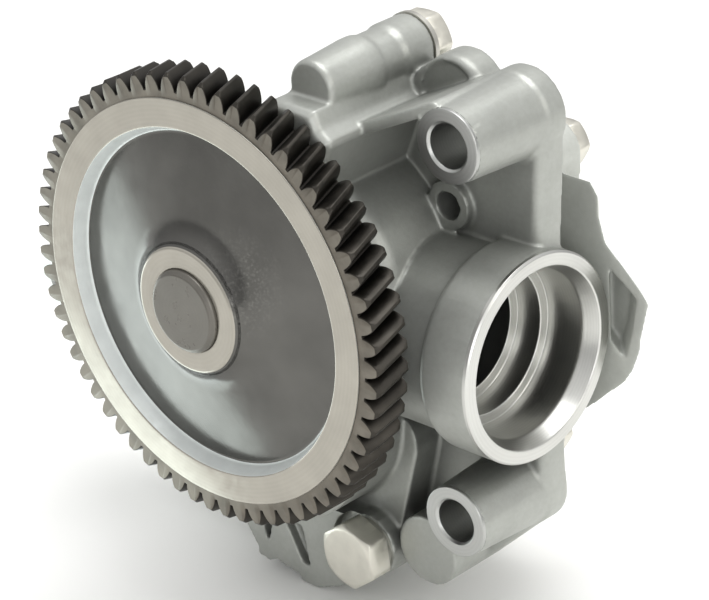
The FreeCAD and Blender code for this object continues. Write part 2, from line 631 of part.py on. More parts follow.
def cover_screw(place):
    """Flanged hexagon screw, driven from the rear."""
    x, z = place
    head_y = COVER_REAR_Y + SCREW_WASHER
    shank = rod(SCREW_R, COVER_REAR_Y - SCREW_GRIP, head_y, x, z)
    washer = cone(SCREW_WASHER_R, SCREW_WASHER_R - SCREW_WASHER / 2.0, COVER_REAR_Y, head_y, x, z)
    head = hexagon(SCREW_HEAD_AF, head_y, head_y + SCREW_HEAD, x, z, SCREW_WASHER, False)
    return fuse_all([shank, washer, head])


def dowel_pin(place):
    """Locating pin, half in the body and half in the cover."""
    return rod(DOWEL_R, PARTING_Y - DOWEL_DEPTH + DOWEL_SPARE, PARTING_Y + DOWEL_DEPTH - DOWEL_SPARE,
               place[0], place[1])


def make_drive_shaft():
    """Stepped drive shaft with a chamfered nose and a keyway."""
    nose = HUB_FRONT_Y - SHAFT_NOSE
    gear_y = FLOOR_Y + END_GAP
    journal_y = COVER_Y - END_GAP
    profile = [(0.0, nose), (SHAFT_R - SHAFT_CHAMFER, nose), (SHAFT_R, nose + SHAFT_CHAMFER),
               (SHAFT_R, gear_y), (GEAR_SEAT_R, gear_y), (GEAR_SEAT_R, journal_y),
               (REAR_JOURNAL_R, journal_y), (REAR_JOURNAL_R, DRIVEN_REAR_Y - SHAFT_EDGE),
               (REAR_JOURNAL_R - SHAFT_EDGE, DRIVEN_REAR_Y), (0.0, DRIVEN_REAR_Y)]
    return turned(profile).cut(key_box(KEY_WIDTH / 2.0, GEAR_SEAT_R + THROUGH))


def make_driven_shaft():
    """Plain shaft of the driven pumping gear."""
    y0 = DRIVEN_FRONT_Y
    y1 = DRIVEN_REAR_Y
    rim = DRIVEN_SHAFT_R - SHAFT_EDGE
    return turned([(0.0, y0), (rim, y0), (DRIVEN_SHAFT_R, y0 + SHAFT_EDGE), (DRIVEN_SHAFT_R, y1 - SHAFT_EDGE),
                   (rim, y1), (0.0, y1)], 0.0, DRIVEN_Z)


def bush(bore, y0, y1, z):
    """Plain bearing bush with a small gap to its journal."""
    outer = rod(bore + BUSH_WALL - SEAT_GAP, y0, y1, 0.0, z)
    return outer.cut(rod(bore + RUNNING_GAP, y0 - THROUGH, y1 + THROUGH, 0.0, z))


def thrust_washer():
    """Hard washer between the gear hub and the nose of the body."""
    washer = rod(THRUST_R, HUB_REAR_Y + THRUST_GAP, NOSE_Y)
    return washer.cut(rod(SHAFT_R + THRUST_BORE_GAP, HUB_REAR_Y, NOSE_Y + THROUGH))


def span(a, b):
    """Two stations in rising order."""
    return (min(a, b), max(a, b))


def valve_plug(place, flats, bore, face_y, depth, head, inward, turn=0.0):
    """Hexagon plug with a hollow threaded end; inward is +1 or -1 along the shaft."""
    x, z = place
    seat = face_y - inward * VALVE_WASHER
    h0, h1 = span(seat, seat - inward * head)
    body = hexagon(flats, h0, h1, x, z, PLUG_CHAMFER, inward > 0, turn)
    t0, t1 = span(seat, face_y + inward * (depth - PLUG_SPARE))
    body = body.fuse(rod(bore + VALVE_THREAD_WALL - SEAT_GAP, t0, t1, x, z))
    c0, c1 = span(face_y + inward * PLUG_CROWN, face_y + inward * (depth + THROUGH))
    return body.cut(rod(bore - VALVE_WALL, c0, c1, x, z))


def valve_washer(place, bore, face_y, inward):
    """Sealing ring under a valve plug."""
    x, z = place
    y0, y1 = span(face_y, face_y - inward * VALVE_WASHER)
    inner = bore + VALVE_THREAD_WALL + SEAT_GAP
    return rod(inner + VALVE_WASHER_WIDTH, y0, y1, x, z).cut(rod(inner, y0 - THROUGH, y1 + THROUGH, x, z))


def plunger(place, bore, y0, y1, hollow_end):
    """Cup plunger, closed by a crown at one end and hollow at the other."""
    x, z = place
    cup = rod(bore - VALVE_GAP, y0, y1, x, z)
    if hollow_end == "front":
        return cup.cut(rod(bore - VALVE_WALL, y0 - THROUGH, y1 - VALVE_CROWN, x, z))
    return cup.cut(rod(bore - VALVE_WALL, y0 + VALVE_CROWN, y1 + THROUGH, x, z))


def valve_spring(place, bore, y0, y1):
    """Coil spring that fits inside a cup plunger and its plug."""
    return spring(bore - SPRING_INSET, SPRING_WIRE, SPRING_TURNS, y0, y1, place[0], place[1])


os.makedirs("parts", exist_ok=True)

node("drive_gear", make_drive_gear())
node("drive_shaft", make_drive_shaft())
node("thrust_washer", thrust_washer())

driving = pump_gear(0.0, math.pi / 2.0, GEAR_SEAT_R + SEAT_GAP)
node("driving_pump_gear", driving.cut(key_box(KEY_WIDTH / 2.0 + SEAT_GAP, KEY_TOP + SEAT_GAP)))
node("pump_gear_key", key_box(KEY_WIDTH / 2.0 - SEAT_GAP, KEY_TOP))
node("driven_pump_gear", pump_gear(DRIVEN_Z, math.pi / 2.0, DRIVEN_SHAFT_R + SEAT_GAP))
node("driven_shaft", make_driven_shaft())
node("front_drive_bush", bush(SHAFT_R, NOSE_Y + BUSH_INSET, FLOOR_Y - BUSH_INSET, 0.0))
node("rear_drive_bush", bush(REAR_JOURNAL_R, COVER_Y + BUSH_INSET, DRIVEN_REAR_Y, 0.0))
node("front_driven_bush", bush(DRIVEN_SHAFT_R, DRIVEN_FRONT_Y, FLOOR_Y - BUSH_INSET, DRIVEN_Z))
node("rear_driven_bush", bush(DRIVEN_SHAFT_R, COVER_Y + BUSH_INSET, DRIVEN_REAR_Y, DRIVEN_Z))

node("pump_body", make_body())
node("rear_cover", make_cover())
node("cover_gasket", make_gasket())
node("cover_screws", Part.makeCompound([cover_screw(place) for place in SCREWS]))
node("dowel_pins", Part.makeCompound([dowel_pin(place) for place in DOWELS]))
oring_centre = V(OUTLET_X, OUTLET_FACE_Y - ORING_WIRE + ORING_PROUD, OUTLET_Z)
node("outlet_o_ring", Part.makeTorus(ORING_R, ORING_WIRE - SEAT_GAP, oring_centre, V(0, 1, 0)))

relief = (RELIEF_X, RELIEF_Z)
relief_crown = RELIEF_SEAT_Y + RUNNING_GAP
relief_end = RELIEF_REAR_Y - RELIEF_PLUG_DEPTH - RELIEF_TRAVEL
node("relief_plunger", plunger(relief, RELIEF_BORE_R, relief_crown, relief_end, "rear"))
node("relief_spring", valve_spring(relief, RELIEF_BORE_R, relief_crown + VALVE_CROWN + RUNNING_GAP,
                                   RELIEF_REAR_Y - PLUG_CROWN - RUNNING_GAP))
node("relief_plug", valve_plug(relief, RELIEF_PLUG_AF, RELIEF_BORE_R, RELIEF_REAR_Y, RELIEF_PLUG_DEPTH,
                               RELIEF_PLUG_HEAD, -1))
node("relief_washer", valve_washer(relief, RELIEF_BORE_R, RELIEF_REAR_Y, -1))

regulator = (REG_X, REG_Z)
reg_start = REG_FACE_Y + REG_PLUG_DEPTH + REG_TRAVEL
reg_crown = REG_BORE_END_Y - RUNNING_GAP
node("regulator_plunger", plunger(regulator, REG_BORE_R, reg_start, reg_crown, "front"))
node("regulator_spring", valve_spring(regulator, REG_BORE_R, REG_FACE_Y + PLUG_CROWN + RUNNING_GAP,
                                      reg_crown - VALVE_CROWN - RUNNING_GAP))
node("regulator_plug", valve_plug(regulator, REG_PLUG_AF, REG_BORE_R, REG_FACE_Y, REG_PLUG_DEPTH,
                                  REG_PLUG_HEAD, 1, REG_PLUG_TURN))
node("regulator_washer", valve_washer(regulator, REG_BORE_R, REG_FACE_Y, 1))
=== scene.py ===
"""Looks of an engine oil pump with a helical drive gear.

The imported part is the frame. Each operator makes one piece, or one group of
like pieces, in the frame's own place and gives it the finish of the real one.
Lengths in this file are millimetres until a mesh is written.
"""
import math

import bmesh
import bpy
import numpy as np
from mathutils import Matrix, Vector


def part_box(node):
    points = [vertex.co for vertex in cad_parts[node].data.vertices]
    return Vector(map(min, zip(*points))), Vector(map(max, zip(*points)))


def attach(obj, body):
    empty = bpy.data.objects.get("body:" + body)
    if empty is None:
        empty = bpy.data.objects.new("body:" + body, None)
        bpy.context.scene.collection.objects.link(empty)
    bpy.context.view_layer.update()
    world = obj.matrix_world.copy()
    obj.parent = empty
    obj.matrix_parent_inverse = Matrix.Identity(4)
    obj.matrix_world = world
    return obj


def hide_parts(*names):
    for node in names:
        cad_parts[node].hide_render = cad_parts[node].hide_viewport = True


bl_info = {
    "name": "Engine Oil Pump",
    "version": (1, 0, 0),
    "blender": (4, 5, 0),
    "location": "View3D > Sidebar > Oil Pump",
    "description": "Dresses a packed oil pump in cast, ground, phosphated and plated finishes",
    "category": "Add Mesh",
}

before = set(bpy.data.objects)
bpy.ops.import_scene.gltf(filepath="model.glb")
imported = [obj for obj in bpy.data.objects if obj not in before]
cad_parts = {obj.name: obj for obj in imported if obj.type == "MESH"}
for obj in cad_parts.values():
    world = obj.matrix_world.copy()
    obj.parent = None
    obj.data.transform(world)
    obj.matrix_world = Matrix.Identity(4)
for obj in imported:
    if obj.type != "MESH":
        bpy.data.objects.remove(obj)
MM = 0.001


def box_mm(node):
    """Lowest and highest corner of a CAD node in millimetres."""
    low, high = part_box(node)
    return np.array(low) / MM, np.array(high) / MM


SHAFT_LOW, SHAFT_HIGH = box_mm("drive_shaft")
BODY_LOW, BODY_HIGH = box_mm("pump_body")
COVER_FRONT = box_mm("rear_cover")[0][1]

# Places of the machined features, as the part's source has them
BOSSES = ((70.5, 55.5), (67.5, -60.0), (-91.5, -29.0))
BOSS_FRONT = 29.0
BOSS_HOLE = 6.5
PORT_CENTRE = (48.7, -11.3)
PORT_RADIUS = 31.0
# Radius and station of the suction port's bores, from the foot of its lead-in to the passage
PORT_MOUTH = 26.8
PORT_STEPS = [(24.6, 79.0), (24.6, 66.5), (21.4, 66.5), (21.4, 58.0), (18.0, 58.0), (18.0, 30.0)]
COVER_SCREWS = ((57.0, 31.5), (4.0, 43.0), (-42.0, 16.0), (-64.5, -20.0), (-50.0, -62.0),
                (-14.0, -88.0), (24.0, -84.0), (48.0, -64.0))
COVER_REAR = 90.0
PARTING = 80.0
EAR_REAR = 64.0
OUTLET = (-37.0, -22.0)
OUTLET_PAD = 96.0
OUTLET_BORE = 11.0
GROOVE_INNER = 12.5
GROOVE_OUTER = 15.5
GROOVE_DEPTH = 2.4
GEAR_BORE = 12.52
GEAR_RIM_FRONT = 0.5
GEAR_RIM_REAR = 13.2
REGULATOR = (23.5, -87.5)
REGULATOR_SEAT = 37.5
RELIEF = (26.7, 64.1)
RELIEF_SEAT = 65.5

# The photograph's view, found from the round edges that it shows
CAMERA_PLACE = (0.5878, -0.5402, 0.3767)
CAMERA_AZIMUTH = 44.265
CAMERA_ELEVATION = 25.375
CAMERA_ROLL = -3.278
CAMERA_LENS = 158.74


def srgb(code):
    """Linear colour of an sRGB hex value."""
    values = [int(code[i:i + 2], 16) / 255.0 for i in (1, 3, 5)]
    linear = [v / 12.92 if v <= 0.04045 else ((v + 0.055) / 1.055) ** 2.4 for v in values]
    return tuple(linear) + (1.0,)


class PumpGearSettings(bpy.types.PropertyGroup):
    """Sizes of the drive gear that the scene's own teeth and web follow."""
    teeth: bpy.props.IntProperty(name="Teeth", description="Number of helical teeth", default=63, min=12)
    helix: bpy.props.FloatProperty(name="Helix", description="Helix angle of the teeth",
                                   default=math.radians(18.0), subtype="ANGLE")
    root: bpy.props.FloatProperty(name="Root radius", description="Radius at the foot of the teeth, in mm",
                                  default=63.24)
    pitch: bpy.props.FloatProperty(name="Pitch radius", description="Pitch radius, in mm", default=66.24)
    tip: bpy.props.FloatProperty(name="Tip radius", description="Radius over the teeth, in mm", default=68.44)
    bevel: bpy.props.FloatProperty(name="End bevel", description="Bevel of the teeth's ends, in mm",
                                   default=1.0)
    ring: bpy.props.FloatProperty(name="Ring radius", description="Outer radius of the ground ring, in mm",
                                  default=61.1)
    dish: bpy.props.FloatProperty(name="Dish radius", description="Inner radius of the ground ring, in mm",
                                  default=52.5)


class PumpCastingSettings(bpy.types.PropertyGroup):
    """How the castings are rounded and coloured."""
    voxel: bpy.props.FloatProperty(name="Grid", description="Grid of the rebuilt casting, in mm", default=0.6,
                                   min=0.5)
    passes: bpy.props.IntProperty(name="Relaxing", description="Passes that round the casting's corners",
                                  default=4, min=0)
    faces: bpy.props.IntProperty(name="Triangles", description="Most triangles that a casting may have",
                                 default=190000, min=1000)
    colour: bpy.props.FloatVectorProperty(name="Aluminium", description="Colour of the cast skin",
                                          subtype="COLOR", size=4, default=srgb("#ABADA8"))
    machined: bpy.props.FloatVectorProperty(name="Machined", description="Colour of cut aluminium",
                                            subtype="COLOR", size=4, default=srgb("#C9CAC7"))


class PumpSteelSettings(bpy.types.PropertyGroup):
    """Colours of the steel parts."""
    teeth: bpy.props.FloatVectorProperty(name="Phosphated", description="Colour of the phosphated teeth",
                                         subtype="COLOR", size=4, default=srgb("#37342F"))
    web: bpy.props.FloatVectorProperty(name="Web", description="Colour of the forged web",
                                       subtype="COLOR", size=4, default=srgb("#605F5C"))
    ground: bpy.props.FloatVectorProperty(name="Ground", description="Colour of ground steel",
                                          subtype="COLOR", size=4, default=srgb("#A8A49A"))
    shaft: bpy.props.FloatVectorProperty(name="Shaft", description="Colour of the shaft's end",
                                         subtype="COLOR", size=4, default=srgb("#6A6761"))
    zinc: bpy.props.FloatVectorProperty(name="Zinc", description="Colour of plated screws and plugs",
                                        subtype="COLOR", size=4, default=srgb("#E0DDD2"))


def add(tree, kind, sockets, **settings):
    """Add a node, with its settings and with its sockets set or linked."""
    node = tree.nodes.new(kind)
    for name, value in settings.items():
        setattr(node, name, value)
    for name, value in sockets.items():
        if isinstance(value, bpy.types.NodeSocket):
            tree.links.new(value, node.inputs[name])
        else:
            node.inputs[name].default_value = value
    return node


def finish(name, metallic, roughness):
    """An empty finish: its tree, its surface shader and its object coordinates."""
    material = bpy.data.materials.new(name)
    material.use_nodes = True
    tree = material.node_tree
    tree.nodes.clear()
    shader = add(tree, "ShaderNodeBsdfPrincipled", {"Metallic": metallic, "Roughness": roughness})
    add(tree, "ShaderNodeOutputMaterial", {"Surface": shader.outputs["BSDF"]})
    place = add(tree, "ShaderNodeTexCoord", {}).outputs["Object"]
    return material, tree, shader, place


def noise(tree, place, size_mm, detail=3.0, roughness=0.55):
    """Noise whose features are about size_mm across."""
    return add(tree, "ShaderNodeTexNoise", {"Vector": place, "Scale": 1.0 / (size_mm * MM), "Detail": detail,
                                            "Roughness": roughness}).outputs["Fac"]


def between(tree, value, low, high):
    """Spread the middle of a noise value from low to high."""
    return add(tree, "ShaderNodeMapRange", {"Value": value, "From Min": 0.32, "From Max": 0.68, "To Min": low,
                                            "To Max": high}).outputs["Result"]


def tinted(tree, factor, first, second, blend="MIX"):
    """Mix of two colours by a factor."""
    mix = tree.nodes.new("ShaderNodeMix")
    mix.data_type = "RGBA"
    mix.blend_type = blend
    for socket, value in ((mix.inputs[0], factor), (mix.inputs[6], first), (mix.inputs[7], second)):
        if isinstance(value, bpy.types.NodeSocket):
            tree.links.new(value, socket)
        else:
            socket.default_value = value
    return mix.outputs[2]


def scaled(colour, by):
    """A colour made lighter or darker by a factor."""
    return tuple(min(1.0, c * by) for c in colour[:3]) + (1.0,)


def bumped(tree, shader, height, depth_mm, strength=1.0):
    """Let a height between 0 and 1 raise the surface by depth_mm."""
    bump = add(tree, "ShaderNodeBump", {"Height": height, "Distance": depth_mm * MM, "Strength": strength})
    tree.links.new(bump.outputs["Normal"], shader.inputs["Normal"])


def shaded(tree, colour, reach_mm, depth):
    """Paint shade into a colour, by ambient occlusion: darker in corners and bores.

    reach_mm is how far a corner is felt, and depth is what is left of the colour in the deepest ones.
    """
    open_sky = add(tree, "ShaderNodeAmbientOcclusion", {"Distance": reach_mm * MM}, samples=8,
                   only_local=True).outputs["AO"]
    light = add(tree, "ShaderNodeMapRange", {"Value": open_sky, "From Min": 0.2, "From Max": 0.85,
                                             "To Min": 0.0, "To Max": 1.0}).outputs["Result"]
    return tinted(tree, light, tinted(tree, 1.0, colour, (depth, depth, depth, 1.0), "MULTIPLY"), colour)


def cast_aluminium(name, colour, metallic=0.55, depth=0.5):
    """Die-cast aluminium, lightly blasted: a satin skin with fine grain and flow marks, and painted shade in
    its corners.
    """
    material, tree, shader, place = finish(name, metallic, 0.46)
    flow = between(tree, noise(tree, place, 34.0, 2.0), 0.0, 1.0)
    skin = tinted(tree, flow, scaled(colour, 0.86), scaled(colour, 1.06))
    speck = between(tree, noise(tree, place, 1.6, 4.0), 0.0, 1.0)
    skin = tinted(tree, speck, skin, tinted(tree, 1.0, skin, (0.93, 0.93, 0.92, 1.0), "MULTIPLY"))
    # painted shade: the skin is darkened in its corners and hollows by ambient occlusion
    tree.links.new(shaded(tree, skin, 26.0, depth), shader.inputs["Base Color"])
    tree.links.new(between(tree, noise(tree, place, 9.0), 0.34, 0.48), shader.inputs["Roughness"])
    bumped(tree, shader, noise(tree, place, 0.9, 4.0, 0.7), 0.05)
    return material


def tool_marks(tree, place, axis, centre, pitch_mm):
    """Fine rings left by a turning tool: the sine of radius + station, so faces and bores both show them."""
    moved = add(tree, "ShaderNodeMapping", {"Vector": place, "Location": tuple(-c * MM for c in centre)})
    across = tuple(0.0 if name == axis else 1.0 for name in "XYZ")
    flat = add(tree, "ShaderNodeVectorMath", {0: moved.outputs["Vector"], 1: across}, operation="MULTIPLY")
    radius = add(tree, "ShaderNodeVectorMath", {0: flat.outputs["Vector"]},
                 operation="LENGTH").outputs["Value"]
    station = add(tree, "ShaderNodeSeparateXYZ", {"Vector": moved.outputs["Vector"]}).outputs[axis]
    both = add(tree, "ShaderNodeMath", {0: radius, 1: station}, operation="ADD").outputs["Value"]
    turns = add(tree, "ShaderNodeMath", {0: both, 1: 2.0 * math.pi / (pitch_mm * MM)}, operation="MULTIPLY")
    wave = add(tree, "ShaderNodeMath", {0: turns.outputs["Value"]}, operation="SINE").outputs["Value"]
    return add(tree, "ShaderNodeMapRange", {"Value": wave, "From Min": -1.0, "From Max": 1.0, "To Min": 0.0,
                                            "To Max": 1.0}).outputs["Result"]


def cut_aluminium(name, colour, axis, centre, roughness=0.3):
    """Turned or faced aluminium: bright, with rings about the tool's axis (centre in mm).

    The real feed marks are about 0.2 mm apart; they are drawn 1.1 mm apart so that they show.
    """
    material, tree, shader, place = finish(name, 1.0, roughness)
    rings = tool_marks(tree, place, axis, centre, 1.1)
    patch = between(tree, noise(tree, place, 16.0, 0.0), 0.0, 1.0)
    tone = tinted(tree, patch, scaled(colour, 0.94), colour)
    tone = tinted(tree, rings, tone, tinted(tree, 1.0, tone, (0.95, 0.95, 0.95, 1.0), "MULTIPLY"))
    tree.links.new(tone, shader.inputs["Base Color"])
    tree.links.new(between(tree, noise(tree, place, 20.0, 0.0), roughness - 0.015, roughness + 0.015),
                   shader.inputs["Roughness"])
    bumped(tree, shader, rings, 0.006)
    return material


def phosphated_steel(name, colour):
    """Hobbed steel, phosphated and oiled: near black, with a soft sheen and lighter rubbed places."""
    material, tree, shader, place = finish(name, 0.75, 0.4)
    cloud = between(tree, noise(tree, place, 6.0, 4.0), 0.0, 1.0)
    tone = tinted(tree, cloud, scaled(colour, 0.72), scaled(colour, 1.2))
    # painted shade: the teeth's colour is darkened in their roots by ambient occlusion
    tree.links.new(shaded(tree, tone, 5.0, 0.3), shader.inputs["Base Color"])
    tree.links.new(between(tree, noise(tree, place, 3.0), 0.32, 0.48), shader.inputs["Roughness"])
    bumped(tree, shader, noise(tree, place, 0.5, 3.0), 0.012)
    return material


def forged_web(name, colour):
    """Forged steel web, shot-cleaned and oiled: dark grey, smooth, with a speckled patch beside the hub."""
    material, tree, shader, place = finish(name, 0.9, 0.2)
    cloud = between(tree, noise(tree, place, 18.0, 3.0), 0.0, 1.0)
    tone = tinted(tree, cloud, scaled(colour, 0.85), scaled(colour, 1.08))
    fleck = noise(tree, place, 0.8, 5.0, 0.7)
    spot = add(tree, "ShaderNodeMapRange", {"Value": fleck, "From Min": 0.53, "From Max": 0.62, "To Min": 0.0,
                                            "To Max": 1.0}).outputs["Result"]
    centred = add(tree, "ShaderNodeMapping", {"Vector": place, "Location": (-0.017, 0.0, -0.012)})
    reach = add(tree, "ShaderNodeVectorMath", {0: centred.outputs["Vector"]},
                operation="LENGTH").outputs["Value"]
    near = add(tree, "ShaderNodeMapRange", {"Value": reach, "From Min": 0.004, "From Max": 0.019,
                                            "To Min": 0.8, "To Max": 0.0}).outputs["Result"]
    speckle = add(tree, "ShaderNodeMath", {0: spot, 1: near}, operation="MULTIPLY").outputs["Value"]
    tone = tinted(tree, speckle, tone, scaled(colour, 1.7))
    tree.links.new(tone, shader.inputs["Base Color"])
    tree.links.new(between(tree, noise(tree, place, 7.0), 0.15, 0.24), shader.inputs["Roughness"])
    bumped(tree, shader, noise(tree, place, 1.2, 4.0), 0.02)
    return material


def ground_steel(name, colour, roughness=0.24):
    """Face-ground steel: bright, with fine rings about the shaft."""
    material, tree, shader, place = finish(name, 0.6, roughness)
    rings = tool_marks(tree, place, "Y", (0.0, 0.0, 0.0), 1.3)
    haze = between(tree, noise(tree, place, 10.0, 3.0), 0.0, 1.0)
    tone = tinted(tree, haze, scaled(colour, 0.93), scaled(colour, 1.04))
    tree.links.new(tinted(tree, rings, tone, tinted(tree, 1.0, tone, (0.96, 0.96, 0.96, 1.0), "MULTIPLY")),
                   shader.inputs["Base Color"])
    tree.links.new(between(tree, noise(tree, place, 4.0), roughness - 0.04, roughness + 0.08),
                   shader.inputs["Roughness"])
    bumped(tree, shader, rings, 0.0015)
    return material


def steel_with_painted_reflection(name, colour):
    """Steel step round the dish: its pale bluish colour is a painted reflection; soft, with a fine grain."""
    material, tree, shader, place = finish(name, 0.4, 0.5)
    haze = between(tree, noise(tree, place, 7.0, 3.0), 0.0, 1.0)
    tree.links.new(tinted(tree, haze, scaled(colour, 0.9), colour), shader.inputs["Base Color"])
    tree.links.new(between(tree, noise(tree, place, 3.0), 0.44, 0.58), shader.inputs["Roughness"])
    bumped(tree, shader, noise(tree, place, 0.6, 3.0), 0.02)
    return material


def zinc_plate(name, colour):
    """Zinc plate on forged steel: pale and slightly warm, with a soft uneven gloss."""
    material, tree, shader, place = finish(name, 0.8, 0.34)
    haze = between(tree, noise(tree, place, 5.0, 3.0), 0.0, 1.0)
    tree.links.new(tinted(tree, haze, scaled(colour, 0.9), colour), shader.inputs["Base Color"])
    tree.links.new(between(tree, noise(tree, place, 2.5), 0.28, 0.44), shader.inputs["Roughness"])
    bumped(tree, shader, noise(tree, place, 0.8, 3.0), 0.015)
    return material


def plain_metal(name, code, roughness):
    """Metal of a part inside the housing: a turned surface with a faint haze."""
    material, tree, shader, place = finish(name, 1.0, roughness)
    haze = between(tree, noise(tree, place, 4.0), 0.0, 1.0)
    tree.links.new(tinted(tree, haze, scaled(srgb(code), 0.88), srgb(code)), shader.inputs["Base Color"])
    bumped(tree, shader, noise(tree, place, 0.6), 0.008)
    return material


def pressed_fibre(name, code):
    """Compressed gasket fibre: matt and dark, with short flecks."""
    material, tree, shader, place = finish(name, 0.0, 0.85)
    fleck = between(tree, noise(tree, place, 0.7, 4.0), 0.0, 1.0)
    tree.links.new(tinted(tree, fleck, scaled(srgb(code), 0.75), scaled(srgb(code), 1.2)),
                   shader.inputs["Base Color"])
    bumped(tree, shader, fleck, 0.03)
    return material


def moulded_rubber(name, code):
    """Moulded nitrile rubber: black with a soft sheen."""
    material, tree, shader, place = finish(name, 0.0, 0.5)
    shader.inputs["Base Color"].default_value = srgb(code)
    tree.links.new(between(tree, noise(tree, place, 2.0), 0.42, 0.58), shader.inputs["Roughness"])
    return material


def soften(points, radii, sides=4):
    """Closed profile with rounded corners.

    Each corner P with radius r becomes B(t) = (1-t)^2 A + 2t(1-t) P + t^2 C, where A and C lie r away from P
    along its two sides, with one more point just outside each end that keeps the flat faces flat.
    """
    points = np.asarray(points, float)
    out = []
    for i, r in enumerate(radii):
        p = points[i]
        if r <= 0.0:
            out.append(p)
            continue
        before = points[i - 1] - p
        after = points[(i + 1) % len(points)] - p
        before /= np.linalg.norm(before)
        after /= np.linalg.norm(after)
        a = p + before * r
        c = p + after * r
        out.append(a + before * r * 0.25)
        for t in np.linspace(0.0, 1.0, sides + 1):
            out.append((1 - t) ** 2 * a + 2 * t * (1 - t) * p + t * t * c)
        out.append(c + after * r * 0.25)
    return np.array(out)


def put_piece(name, grid, materials, slot_of=None, body="housing", wrap_rows=True, sharp=38.0):
    """Mesh from a (rows, columns, 3) grid in mm; columns wrap round, and rows do where the profile is closed.

    slot_of takes the face centres and gives each face's place in materials.
    """
    rows, columns = grid.shape[:2]
    index = np.arange(rows * columns).reshape(rows, columns)
    right = np.roll(index, -1, axis=1)
    if wrap_rows:
        quads = np.stack([index, right, np.roll(right, -1, axis=0), np.roll(index, -1, axis=0)], axis=-1)
    else:
        quads = np.stack([index[:-1], right[:-1], right[1:], index[1:]], axis=-1)
    mesh = bpy.data.meshes.new(name)
    mesh.from_pydata((grid.reshape(-1, 3) * MM).tolist(), [], quads.reshape(-1, 4).tolist())
    return finish_piece(name, mesh, materials, slot_of, body, sharp)


def finish_piece(name, mesh, materials, slot_of, body, sharp):
    """Close seams and poles, face outwards, shade softly up to an angle and hang the piece on its body."""
    tidy = bmesh.new()
    tidy.from_mesh(mesh)
    bmesh.ops.remove_doubles(tidy, verts=tidy.verts, dist=1e-7)
    bmesh.ops.recalc_face_normals(tidy, faces=tidy.faces)
    tidy.to_mesh(mesh)
    tidy.free()
    for material in materials:
        mesh.materials.append(material)
    if slot_of is not None:
        centres = np.empty(len(mesh.polygons) * 3)
        mesh.polygons.foreach_get("center", centres)
        slots = slot_of(centres.reshape(-1, 3) / MM).astype(np.int32)
        mesh.polygons.foreach_set("material_index", slots)
    mesh.polygons.foreach_set("use_smooth", np.ones(len(mesh.polygons), bool))
    mesh.set_sharp_from_angle(angle=math.radians(sharp))
    mesh.update()
    piece = bpy.data.objects.new(name, mesh)
    bpy.context.scene.collection.objects.link(piece)
    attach(piece, body)
    return piece


def turned(profile, steps, axis="Y", centre=(0.0, 0.0)):
    """Surface of revolution of (radius, station) points.

    About Y: (x0 + r cos a, s, z0 + r sin a). About X: (s, y0 + r cos a, z0 + r sin a).
    """
    profile = np.asarray(profile, float)
    angle = np.linspace(0.0, 2.0 * math.pi, steps, endpoint=False)
    across = profile[:, :1] * np.cos(angle)
    up = profile[:, :1] * np.sin(angle) + centre[1]
    along = np.broadcast_to(profile[:, 1:], across.shape)
    if axis == "Y":
        return np.stack([across + centre[0], along, up], axis=-1)
    return np.stack([along, across + centre[0], up], axis=-1)


def tooth_outline(gear, inset):
    """Angles and radii along all the teeth, drawn in by inset.

    The flank's half-angle is the parabola through its values at root, pitch and tip radius; the corners at
    root and tip are softened before the half tooth is mirrored and repeated.
    """
    pitch = 2.0 * math.pi / gear.teeth
    known = np.array([gear.root, gear.pitch, gear.tip])
    halves = np.array([pitch / 2.0 - 0.45 / gear.root, pitch / 4.0 + 0.004, 0.45 / gear.tip])
    radius = np.linspace(gear.root, gear.tip, 8)
    half = np.polyval(np.polyfit(known, halves, 2), radius)
    line = np.vstack([[[-pitch / 2.0 * gear.pitch, gear.root]], np.column_stack([-half * gear.pitch, radius]),
                      [[0.0, gear.tip]]])
    corner = np.zeros(len(line))
    corner[1] = 0.3
    corner[-2] = 0.2
    line = soften(line, corner, 3)
    flank = (line[:, 1] - gear.root) / (gear.tip - gear.root) > 0.02
    angle = np.where(flank, np.minimum(line[:, 0] + inset, 0.0), line[:, 0]) / gear.pitch
    r = line[:, 1] - inset
    angle = np.concatenate([angle, -angle[::-1][1:-1]])
    r = np.concatenate([r, r[::-1][1:-1]])
    turns = np.arange(gear.teeth)[:, None] * pitch
    return (turns + angle).ravel(), np.tile(r, gear.teeth)


def helical_rim(gear):
    """Grid of the toothed rim: the teeth's outline at stations along the face.

    Each is turned by station * tan(helix) / pitch. Towards both ends the teeth are cut down to tip - bevel by
    a cone of 45 degrees.
    """
    y0 = GEAR_RIM_FRONT
    y1 = GEAR_RIM_REAR
    soft = 0.14
    inner = gear.ring - 0.05
    steps = [0.0, soft, 0.5, gear.bevel, 3.4, 5.6, 7.8, 10.0]
    stations = [y0 + d for d in steps] + [y1 - d for d in (gear.bevel, 0.5, soft, 0.0)]
    rows = []
    for y in stations:
        end = min(y - y0, y1 - y)
        angle, r = tooth_outline(gear, soft if end < soft else 0.0)
        r = np.minimum(r, gear.tip - gear.bevel + end)
        angle = angle + math.pi / 2.0 + (y - y0) * math.tan(gear.helix) / gear.pitch
        rows.append(np.column_stack([r * np.cos(angle), np.full_like(r, y), r * np.sin(angle)]))
    for y, row in ((y0, rows[0]), (y1, rows[-1])):
        direction = row[:, (0, 2)] / np.linalg.norm(row[:, (0, 2)], axis=1, keepdims=True) * inner
        rows.append(np.column_stack([direction[:, 0], np.full(len(row), y), direction[:, 1]]))
    return np.array([rows[-2]] + rows[:-2] + [rows[-1]])


